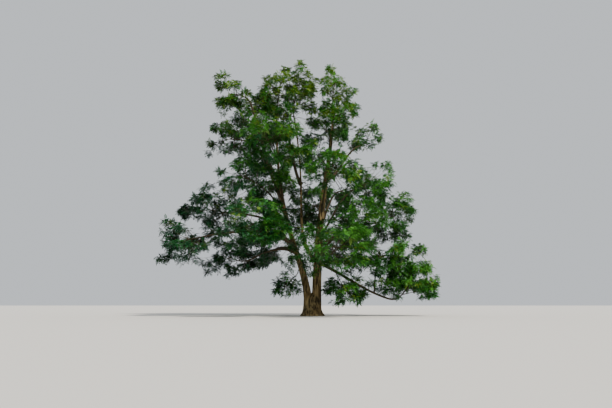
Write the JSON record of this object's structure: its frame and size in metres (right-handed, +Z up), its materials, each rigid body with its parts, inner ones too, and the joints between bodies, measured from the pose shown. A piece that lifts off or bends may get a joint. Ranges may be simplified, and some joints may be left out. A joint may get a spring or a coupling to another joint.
{
  "type": "ash tree",
  "caption": "Free-standing broadleaved tree with a flared foot, stems that fork low, arching boughs and a wide, airy crown of feathery leaf tufts.",
  "frame": {"origin": "middle of the flat cut under the trunk, at ground level", "axes": "+Z up; +X to the right and +Y to the back, as seen from the front"},
  "size_m": [16.4469, 13.7716, 15.6668],
  "materials": {
    "bark": "rough, furrowed",
    "young_bark": "rough",
    "leaf": "satin"
  },
  "bodies": {
    "root": {"trunk": "bark", "right_stem": "bark", "left_stem": "bark", "middle_stem": "bark", "bough_back_high_left": "young_bark", "bough_back_high_right": "young_bark", "bough_back_left": "young_bark", "bough_back_low_left": "young_bark", "bough_back_low_right": "young_bark", "bough_back_right": "young_bark", "bough_far_left": "young_bark", "bough_front_left": "young_bark", "bough_front_left_high": "young_bark", "bough_front_low": "young_bark", "bough_front_right_high": "young_bark", "bough_hang_left": "young_bark", "bough_hang_right": "young_bark", "bough_inner_left": "young_bark", "bough_inner_right": "young_bark", "bough_left_low": "young_bark", "bough_left_mid": "young_bark", "bough_left_shoulder": "young_bark", "bough_left_upper": "young_bark", "bough_right_low": "young_bark", "bough_right_low_inner": "young_bark", "bough_right_mid": "young_bark", "bough_right_tuft": "young_bark", "bough_right_upper": "young_bark", "bough_upper_left": "young_bark", "bough_upper_right": "young_bark", "foliage_back_centre": "leaf", "foliage_back_high_left": "leaf", "foliage_back_high_right": "leaf", "foliage_back_left": "leaf", "foliage_back_low_left": "leaf", "foliage_back_low_right": "leaf", "foliage_back_right": "leaf", "foliage_crown_left": "leaf", "foliage_crown_right": "leaf", "foliage_far_left": "leaf", "foliage_front_left": "leaf", "foliage_front_left_high": "leaf", "foliage_front_low": "leaf", "foliage_front_right_high": "leaf", "foliage_hang_left": "leaf", "foliage_hang_right": "leaf", "foliage_inner_left": "leaf", "foliage_inner_right": "leaf", "foliage_left_low": "leaf", "foliage_left_mid": "leaf", "foliage_left_shoulder": "leaf", "foliage_left_upper": "leaf", "foliage_right_low": "leaf", "foliage_right_low_inner": "leaf", "foliage_right_mid": "leaf", "foliage_right_tuft": "leaf", "foliage_right_upper": "leaf", "foliage_top": "leaf", "foliage_upper_left": "leaf", "foliage_upper_right": "leaf"}
  },
  "joints": []
}
